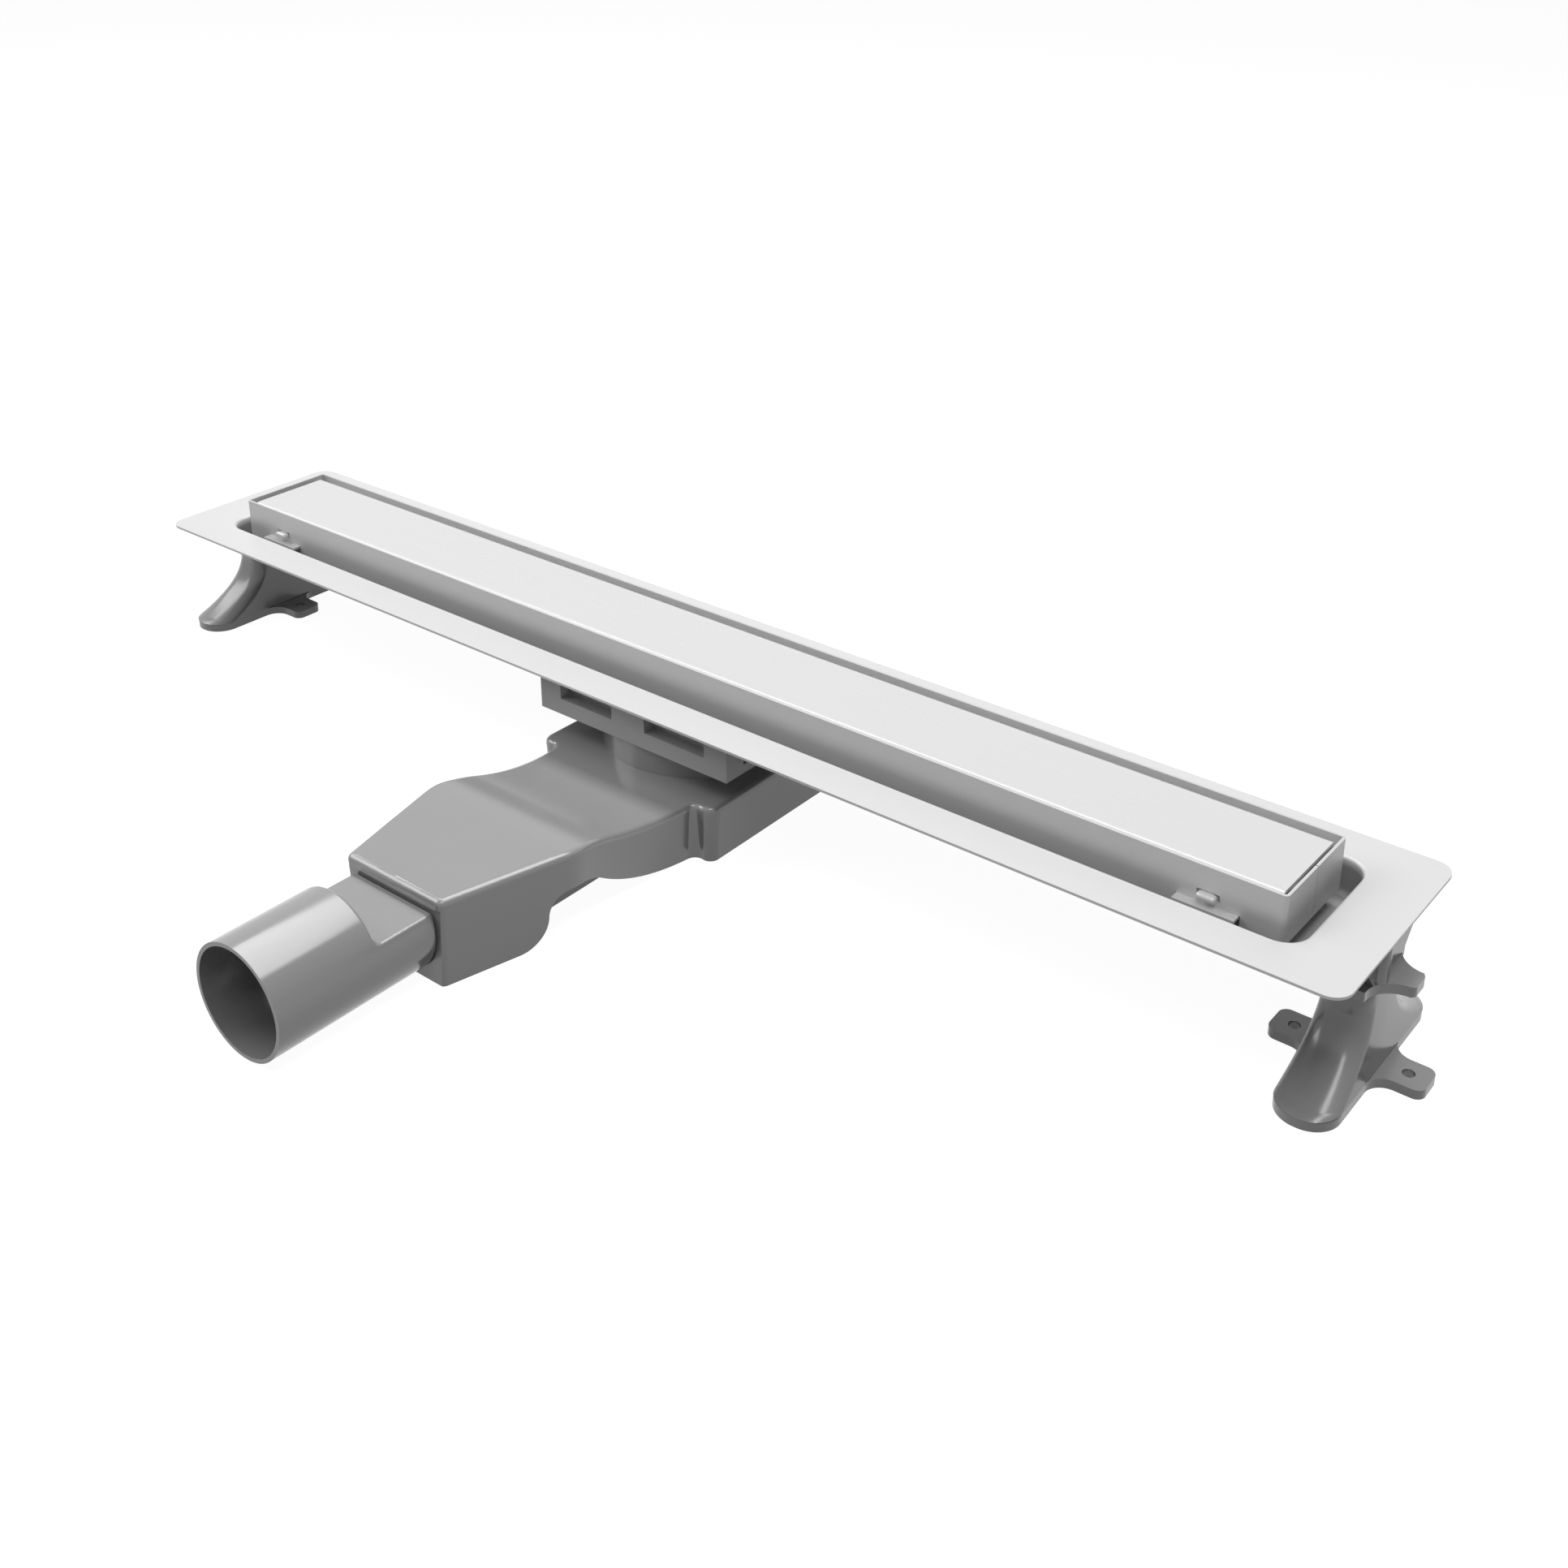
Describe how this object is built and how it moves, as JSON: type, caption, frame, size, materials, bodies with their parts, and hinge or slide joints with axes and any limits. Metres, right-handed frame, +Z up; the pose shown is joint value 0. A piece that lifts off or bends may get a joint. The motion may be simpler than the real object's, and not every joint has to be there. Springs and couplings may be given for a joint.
{
  "type": "linear shower drain",
  "caption": "Long stainless shower channel with a tile frame and loose cover, on a low moulded trap with a horizontal outlet pipe and a foot at each end.",
  "frame": {"origin": "on the floor under the middle of the drain, at the middle of the trap's flat sole", "axes": "+X along the channel, -Y towards the outlet pipe, +Z up"},
  "size_m": [0.7148, 0.3158, 0.0763],
  "materials": {
    "stainless_sheet": "satin",
    "light_moulding": "satin",
    "fasteners": "satin",
    "grey_moulding": "semi-gloss",
    "inner_moulding": "satin",
    "seals": "matte"
  },
  "bodies": {
    "root": {"channel_body": "stainless_sheet", "frame_front_half": "stainless_sheet", "frame_back_half": "stainless_sheet", "cover_plate": "stainless_sheet", "support_bar_left": "stainless_sheet", "support_bar_right": "stainless_sheet", "mounting_block": "light_moulding", "levelling_screws": "fasteners", "levelling_nuts": "fasteners", "foot_screws": "fasteners", "trap_body": "grey_moulding", "neck_ring": "grey_moulding", "outlet_adaptor": "grey_moulding", "foot_left": "grey_moulding", "foot_right": "grey_moulding", "bracket_left": "grey_moulding", "bracket_right": "grey_moulding", "clamp_ring": "inner_moulding", "trap_insert": "inner_moulding", "strainer": "inner_moulding", "floor_seal": "seals", "insert_o_ring": "seals", "outlet_seal": "seals"}
  },
  "joints": []
}
